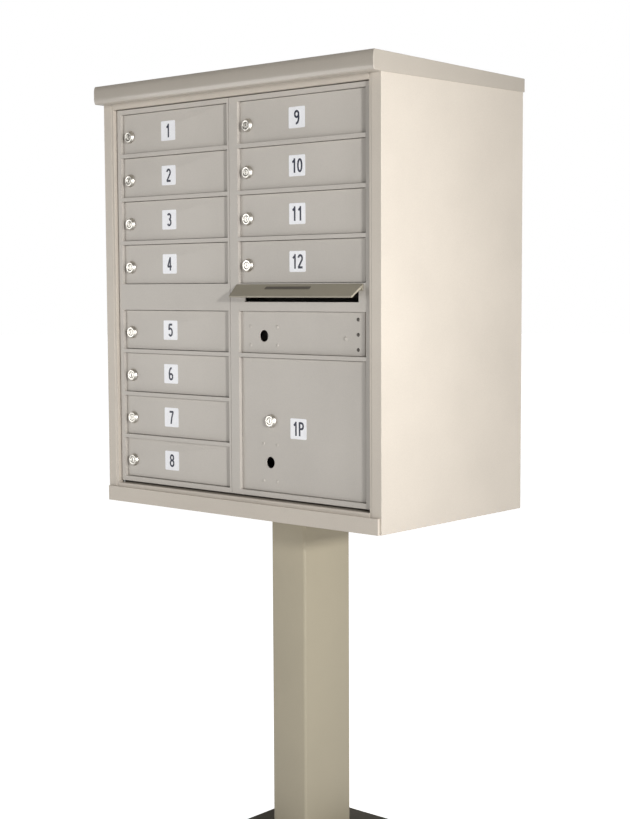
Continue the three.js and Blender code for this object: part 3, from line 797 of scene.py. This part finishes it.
def curl(x: float, z: float, wide: float, high: float, start: float, end: float) -> list[tuple[float, float]]:
    """Points on an ellipse's arc from one angle to another, in degrees."""
    angle = np.radians(np.linspace(start, end, 14))
    return list(zip(x + wide * np.cos(angle), z + high * np.sin(angle)))


# Each character as centre lines on a box one high, its middle at the origin.
LOOP_HEIGHT = 0.19
HALF = 0.42
SIX = [
    curl(0, LOOP_HEIGHT + 0.02 - HALF, 0.2, LOOP_HEIGHT + 0.02, 0, 360),
    curl(0.03, 0.0, 0.24, HALF, 75, 195),
]
STROKES = {
    "0": [curl(0, 0, 0.2, HALF, 0, 360)],
    "1": [[(0.04, 0.5), (0.04, -0.5)], [(0.02, 0.38), (-0.17, 0.22)]],
    "2": [curl(0, 0.21, 0.2, 0.21, 170, -30) + [(-0.2, -HALF)], [(-0.24, -HALF), (0.24, -HALF)]],
    "3": [curl(0, 0.22, 0.19, 0.2, 150, -90), curl(0, -0.2, 0.21, 0.22, 90, -150)],
    "4": [[(0.08, 0.5), (0.08, -0.5)], [(0.05, 0.44), (-0.22, -0.2)], [(-0.25, -0.2), (0.25, -0.2)]],
    "5": [
        [(0.22, HALF), (-0.17, HALF)],
        [(-0.15, HALF), (-0.18, 0.02)],
        curl(0, -0.15, 0.21, 0.27, 140, -150),
    ],
    "6": SIX,
    "7": [[(-0.24, HALF), (0.24, HALF)], [(0.2, HALF), (0.02, -0.05), (-0.06, -0.5)]],
    "8": [curl(0, 0.22, 0.18, 0.2, 0, 360), curl(0, -0.2, 0.21, 0.22, 0, 360)],
    "9": [[(-x, -z) for x, z in line] for line in SIX],
    "P": [
        [(-0.17, 0.5), (-0.17, -0.5)],
        [(-0.17, HALF), (0.03, HALF)],
        curl(0.03, 0.21, 0.18, 0.21, 90, -90),
        [(0.03, 0.0), (-0.17, 0.0)],
    ],
}


@dataclass
class NumberLabel:
    """Vinyl door number: a white square with round corners and a dark number on it."""

    width_mm: float = 42.0
    height_mm: float = 40.0
    corner_mm: float = 2.5
    film_mm: float = 0.35
    digit_mm: float = 27.5
    narrow: float = 0.9
    stroke_mm: float = 4.2
    advance: float = 0.6  # from one character to the next, on the characters' own scale
    stroke_step_mm: float = 0.01  # each stroke lies this much above the one before

    def build(self, text: str, body: str, place: Vector) -> None:
        """Makes the label and its number.

        Args:
            text: the number.
            body: the body the label rides on.
            place: the label's middle, on the door's face.
        """
        outline = rounded_rectangle(self.width_mm, self.height_mm, self.corner_mm) * MM
        depths = (place.y + RIDE_ABOVE_MM * MM, place.y - self.film_mm * MM)
        across, up = place.x + outline[:, 0], place.z + outline[:, 1]
        rings = np.array([np.column_stack([across, np.full(len(outline), y), up]) for y in depths])
        mesh = surface(f"label_{text}", rings, False, True, capped=True)
        place_piece(f"label_{text}", mesh, body, LABEL_WHITE)
        number = self.number(text, Vector((place.x, depths[1] - RIDE_ABOVE_MM * MM, place.z)))
        place_piece(f"number_{text}", number, body, LABEL_INK, 20)

    def number(self, text: str, place: Vector) -> bpy.types.Mesh:
        """The number as flat strokes, upright and facing -Y.

        Args:
            text: the number.
            place: its middle.

        Returns:
            The mesh.
        """
        ribbons = []
        for i, character in enumerate(text):
            shift = (i - (len(text) - 1) / 2) * self.advance
            ribbons += [np.array(line) + (shift, 0) for line in STROKES[character]]
        work = bmesh.new()
        for i, line in enumerate(ribbons):
            self.ribbon(work, line, place - Vector((0, self.stroke_step_mm * MM * i, 0)))
        mesh = bpy.data.meshes.new(f"number_{text}")
        work.to_mesh(mesh)
        work.free()
        return mesh

    def ribbon(self, work: bmesh.types.BMesh, line: np.ndarray, place: Vector) -> None:
        """Adds one stroke: a line of points widened to both sides, square at its ends.

        Args:
            work: the mesh being made.
            line: points on a glyph one high, its middle at the origin.
            place: the number's middle.
        """
        scale = (self.digit_mm * MM * self.narrow, self.digit_mm * MM)
        centre = line * scale
        ahead = np.gradient(centre, axis=0)
        ahead /= np.linalg.norm(ahead, axis=1)[:, None]
        aside = np.column_stack([-ahead[:, 1], ahead[:, 0]]) * self.stroke_mm * MM / 2
        rows = []
        for plan in (centre + aside, centre - aside):
            rows.append([work.verts.new((place.x + x, place.y, place.z + z)) for x, z in plan])
        for (a, b), (c, d) in zip(zip(rows[0], rows[0][1:]), zip(rows[1], rows[1][1:])):
            work.faces.new((a, c, d, b))


DOOR_EDGE_MM = 0.9
STUD_MM = (3.6, 1.3)  # radius and height


def stud_heads(name: str, keyhole: Vector, spread_mm: tuple[float, float], body: str) -> None:
    """Four coated stud heads at the corners of a rectangle round a keyhole.

    Args:
        name: the start of their names.
        keyhole: its middle, on the face.
        spread_mm: distances between them, across and up.
        body: the body they ride on.
    """
    head = turned(name, dome(*STUD_MM))
    corners = [(x, z) for z in (0.5, -0.5) for x in (-0.5, 0.5)]
    for i, (x, z) in enumerate(corners):
        place = keyhole + Vector((x * spread_mm[0] * MM, 0, z * spread_mm[1] * MM))
        title = f"{name}_{i + 1}"
        place_piece(title, moved(head, title, place), body, DOOR_SHADED_COAT)


@dataclass
class ParcelDoor:
    """The parcel door with its lock, its number and the stud heads round its keyhole."""

    label_inset_mm: float = 152.0  # the label's middle from the door's left edge
    label_drop_mm: float = 3.4  # below the door's middle
    keyhole_mm: tuple[float, float] = (76.5, 57.0)  # from the door's left edge and foot
    studs_mm: tuple[float, float] = (37.0, 73.0)

    def build(self, lock: Lock, label: NumberLabel) -> None:
        """Makes every piece of the parcel door.

        Args:
            lock: the kind of lock it has.
            label: the kind of label it has.
        """
        dressed("parcel_door", "parcel_door", DOOR_SHADED_COAT, "door_coating", DOOR_EDGE_MM)
        lock.build("parcel", "parcel_door", "parcel_lock_plug")
        low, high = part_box("parcel_door")
        level = (low.z + high.z) / 2 - self.label_drop_mm * MM
        label.build("1P", "parcel_door", Vector((low.x + self.label_inset_mm * MM, low.y, level)))
        across, up = self.keyhole_mm
        keyhole = Vector((low.x + across * MM, low.y, low.z + up * MM))
        stud_heads("parcel_stud", keyhole, self.studs_mm, "parcel_door")


@dataclass
class LockPanel:
    """The riveted panel over the master lock, with stud heads round its keyhole and a low bump."""

    keyhole_inset_mm: float = 61.5  # from the panel's left edge
    keyhole_drop_mm: float = 7.0  # below its middle
    studs_mm: tuple[float, float] = (73.0, 36.0)
    rivet_mm: tuple[float, float, float] = (3.6, 1.5, 1.1)  # radius, height and the mandrel's hole
    rivet_inset_mm: float = 16.5  # from the panel's right edge
    rivet_rises_mm: tuple[float, ...] = (12.0, 40.0, 68.0)  # from its foot
    bump_mm: tuple[float, float] = (4.5, 1.8)  # radius and height
    bump_inset_mm: float = 47.5
    bump_rise_mm: float = 32.0

    def build(self) -> None:
        """Makes every piece of the panel."""
        dressed("master_lock_panel", "right_master_door", DOOR_SHADED_COAT, "door_coating", DOOR_EDGE_MM)
        low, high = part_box("master_lock_panel")
        level = (low.z + high.z) / 2 - self.keyhole_drop_mm * MM
        keyhole = Vector((low.x + self.keyhole_inset_mm * MM, low.y, level))
        stud_heads("panel_stud", keyhole, self.studs_mm, "right_master_door")
        head = turned("panel_rivet", dome(*self.rivet_mm))
        for i, rise in enumerate(self.rivet_rises_mm):
            name = f"panel_rivet_{i + 1}"
            place = Vector((high.x - self.rivet_inset_mm * MM, low.y, low.z + rise * MM))
            place_piece(name, moved(head, name, place), "right_master_door", SHADED_RIVET_STEEL)
        place = Vector((high.x - self.bump_inset_mm * MM, low.y, low.z + self.bump_rise_mm * MM))
        bump = moved(turned("panel_bump", dome(*self.bump_mm)), "panel_bump", place)
        place_piece("panel_bump", bump, "right_master_door", DOOR_SHADED_COAT)


@dataclass
class OutgoingSlot:
    """Mail hood with its dark strip, and the guard behind the slot."""

    hood_edge_mm: float = 0.7
    guard_edge_mm: float = 0.3
    slope_mm: tuple[float, float] = (27.0, 23.0)  # how far the hood reaches out and drops
    strip_mm: tuple[float, float] = (118.0, 8.0)
    strip_corner_mm: float = 1.5
    strip_inset_mm: float = 88.0  # from the hood's left end
    strip_down_mm: float = 12.0  # from the hood's top edge, down the slope
    strip_span_mm: tuple[float, float] = (-0.1, 0.3)  # into the hood and out of it

    def build(self) -> None:
        """Makes every piece round the slot; the strip is an outline laid on the slope at two heights."""
        dressed("mail_hood", "right_master_door", MAIL_HOOD_SHADED_COAT, "door_coating", self.hood_edge_mm)
        guard = ("mail_slot_guard", "right_master_door", MILL_SHEET, "mill_aluminium")
        dressed(*guard, self.guard_edge_mm, 1)
        low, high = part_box("mail_hood")
        slope = Vector((0, -self.slope_mm[0], -self.slope_mm[1])).normalized()
        outward = np.array((0, slope.z, -slope.y))
        width, height = self.strip_mm
        middle_x = low.x + (self.strip_inset_mm + width / 2) * MM
        middle = Vector((middle_x, high.y, high.z)) + slope * self.strip_down_mm * MM
        outline = rounded_rectangle(width, height, self.strip_corner_mm) * MM
        flat = np.array(middle) + outline[:, :1] * np.array([1.0, 0, 0]) + outline[:, 1:] * np.array(slope)
        rings = np.array([flat + lift * MM * outward for lift in self.strip_span_mm])
        mesh = surface("mail_hood_strip", rings, False, True, capped=True)
        place_piece("mail_hood_strip", mesh, "right_master_door", STRIP_DARK)


@dataclass
class Doors:
    """Master doors and all that is hung or fixed in them."""

    frame_edge_mm: float = 1.3
    bar_edge_mm: float = 0.6
    guide_edge_mm: float = 0.3
    left_label_inset_mm: float = 139.0  # a label's middle from its door's left edge
    right_label_inset_mm: float = 152.0
    lock: Lock = field(default_factory=Lock)
    label: NumberLabel = field(default_factory=NumberLabel)

    def build(self) -> None:
        """Makes every piece of the doors."""
        for door in Door:
            dressed(door.value, door.value, DOOR_SHADED_COAT, "door_coating", self.frame_edge_mm)
        for number in TENANTS:
            self.tenant(number)
        ParcelDoor().build(self.lock, self.label)
        LockPanel().build()
        OutgoingSlot().build()
        dressed("latch_bar", "latch_bar", PIN_ZINC, "zinc_steel", self.bar_edge_mm)
        dressed("latch_guide", "right_master_door", PIN_ZINC, "zinc_steel", self.guide_edge_mm)

    def tenant(self, number: int) -> None:
        """One tenant door with its lock and number.

        Args:
            number: the door's number.
        """
        node = f"tenant_door_{number}"
        dressed(node, node, DOOR_SHADED_COAT, "door_coating", DOOR_EDGE_MM)
        self.lock.build(str(number), node, f"tenant_lock_plug_{number}")
        low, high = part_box(node)
        on_right = TENANTS[number] is Door.RIGHT
        inset = self.right_label_inset_mm if on_right else self.left_label_inset_mm
        place = Vector((low.x + inset * MM, low.y, (low.z + high.z) / 2))
        self.label.build(str(number), node, place)


@dataclass(frozen=True)
class Softbox:
    """A rectangular area light that looks at a target."""

    name: str
    place: tuple[float, float, float]
    target: tuple[float, float, float]
    width: float
    height: float
    watts: float

    def build(self) -> None:
        """Makes the light."""
        data = bpy.data.lights.new(self.name, "AREA")
        data.shape = "RECTANGLE"
        data.size = self.width
        data.size_y = self.height
        data.energy = self.watts
        light = bpy.data.objects.new(self.name, data)
        light.location = self.place
        aim = Vector(self.target) - Vector(self.place)
        light.rotation_mode = "QUATERNION"
        light.rotation_quaternion = aim.to_track_quat("-Z", "Y")
        bpy.context.scene.collection.objects.link(light)


@dataclass
class Studio:
    """Floor, soft lights and camera."""

    floor_radius: float = 40.0
    floor_glow: float = 0.95  # as seen
    floor_bounce: float = 0.45  # as a light on the unit
    floor_colour: str = "#EFEFEF"
    surround: float = 0.32  # the air low down, as a light
    overhead: tuple[float, float, float] = (0.12, 0.12, 0.115)
    horizon: tuple[float, float] = (0.1, 0.4)  # where the air starts and ends dimming
    camera_place: tuple[float, float, float] = (2.073, -2.249, 1.162)
    azimuth: float = 39.13
    pitch: float = 4.51
    lens: float = 64.0
    shift_x: float = -0.1038

    def build(self) -> None:
        """Makes the whole studio."""
        self.floor()
        self.world()
        self.lights()
        self.camera()
        self.colour_management()

    def floor(self) -> None:
        """A pale round floor that glows to the eye, so that it fades into the backdrop."""
        angle = np.linspace(0, 2 * math.pi, 96, endpoint=False)
        radius = np.array([0.0, 1.0, 4.0, 12.0, self.floor_radius])[:, None]
        level = 0 * radius * angle - 0.0002
        points = np.stack([radius * np.cos(angle), radius * np.sin(angle), level], axis=-1)
        floor = bpy.data.objects.new("floor", surface("floor", points, False, True))
        bpy.context.scene.collection.objects.link(floor)
        made = bpy.data.materials.new("pale_floor")
        made.use_nodes = True
        shader = made.node_tree.nodes["Principled BSDF"]
        shader.inputs["Base Color"].default_value = linear(self.floor_colour)
        shader.inputs["Roughness"].default_value = 0.9
        shader.inputs["Specular IOR Level"].default_value = 0.0
        shader.inputs["Emission Color"].default_value = (1, 1, 1, 1)
        seen = add_node(made.node_tree, "ShaderNodeLightPath").outputs["Is Camera Ray"]
        levels = {"Value": seen, "To Min": self.floor_bounce, "To Max": self.floor_glow}
        glow = add_node(made.node_tree, "ShaderNodeMapRange", levels)
        made.node_tree.links.new(glow.outputs["Result"], shader.inputs["Emission Strength"])
        floor.data.materials.append(made)

    def world(self) -> None:
        """A white backdrop; as a light it is white low down and dims overhead."""
        world = bpy.data.worlds.new("soft_surround")
        bpy.context.scene.world = world
        world.use_nodes = True
        tree = world.node_tree
        background = tree.nodes["Background"]
        direction = add_node(tree, "ShaderNodeTexCoord").outputs["Generated"]
        parts = add_node(tree, "ShaderNodeSeparateXYZ", {"Vector": direction})
        low, high = (self.surround, self.surround, self.surround, 1.0), (*self.overhead, 1.0)
        stops = [(0.0, low), (self.horizon[0], low), (self.horizon[1], high)]
        sky = add_node(tree, "ShaderNodeValToRGB", {"Fac": parts.outputs["Z"]}, stops)
        seen = add_node(tree, "ShaderNodeLightPath").outputs["Is Camera Ray"]
        choice = {"Factor": seen, 6: sky.outputs["Color"], 7: (1.0, 1.0, 1.0, 1.0)}
        mixed = add_node(tree, "ShaderNodeMix", choice, data_type="RGBA")
        tree.links.new(mixed.outputs[2], background.inputs["Color"])
        background.inputs["Strength"].default_value = 1.0

    def lights(self) -> None:
        """A low key from the right, a tall strip beside the right wall's front edge and a weak left fill."""
        for light in (
            Softbox("key", (5.8, -2.7, 2.0), (0.0, -0.2, 1.1), 0.4, 0.4, 235.0),
            Softbox("wall_strip", (0.8, -0.27, 1.15), (0.38, -0.22, 1.15), 0.12, 1.0, 2.1),
            Softbox("fill", (-1.3, -1.6, 1.1), (-0.25, -0.2, 1.2), 0.8, 0.8, 8.0),
        ):
            light.build()

    def camera(self) -> None:
        """A camera off the front right corner, looking a little down."""
        turn, tilt = math.radians(self.azimuth), math.radians(self.pitch)
        aim = Vector((-math.sin(turn) * math.cos(tilt), math.cos(turn) * math.cos(tilt), -math.sin(tilt)))
        data = bpy.data.cameras.new("camera")
        data.lens = self.lens
        data.sensor_width = 36.0
        data.shift_x = self.shift_x
        camera = bpy.data.objects.new("camera", data)
        camera.location = self.camera_place
        camera.rotation_mode = "QUATERNION"
        camera.rotation_quaternion = aim.to_track_quat("-Z", "Y")
        bpy.context.scene.collection.objects.link(camera)
        bpy.context.scene.camera = camera

    def colour_management(self) -> None:
        """Shows colours as they are, so that a white surround stays white."""
        bpy.context.scene.view_settings.view_transform = "Standard"


def main() -> None:
    """Builds the studio and the assemblies, and reports each piece."""
    logging.basicConfig(level=logging.INFO, format="%(name)s: %(message)s")
    Studio().build()
    for assembly in (Pedestal(), Cabinet(), Doors()):
        before = {piece.name for piece in bpy.data.objects}
        assembly.build()
        for piece in bpy.data.objects:
            if piece.name not in before:
                LOG.info("%s: %s, %d faces", type(assembly).__name__, piece.name, len(piece.data.polygons))


if __name__ == "__main__":
    main()
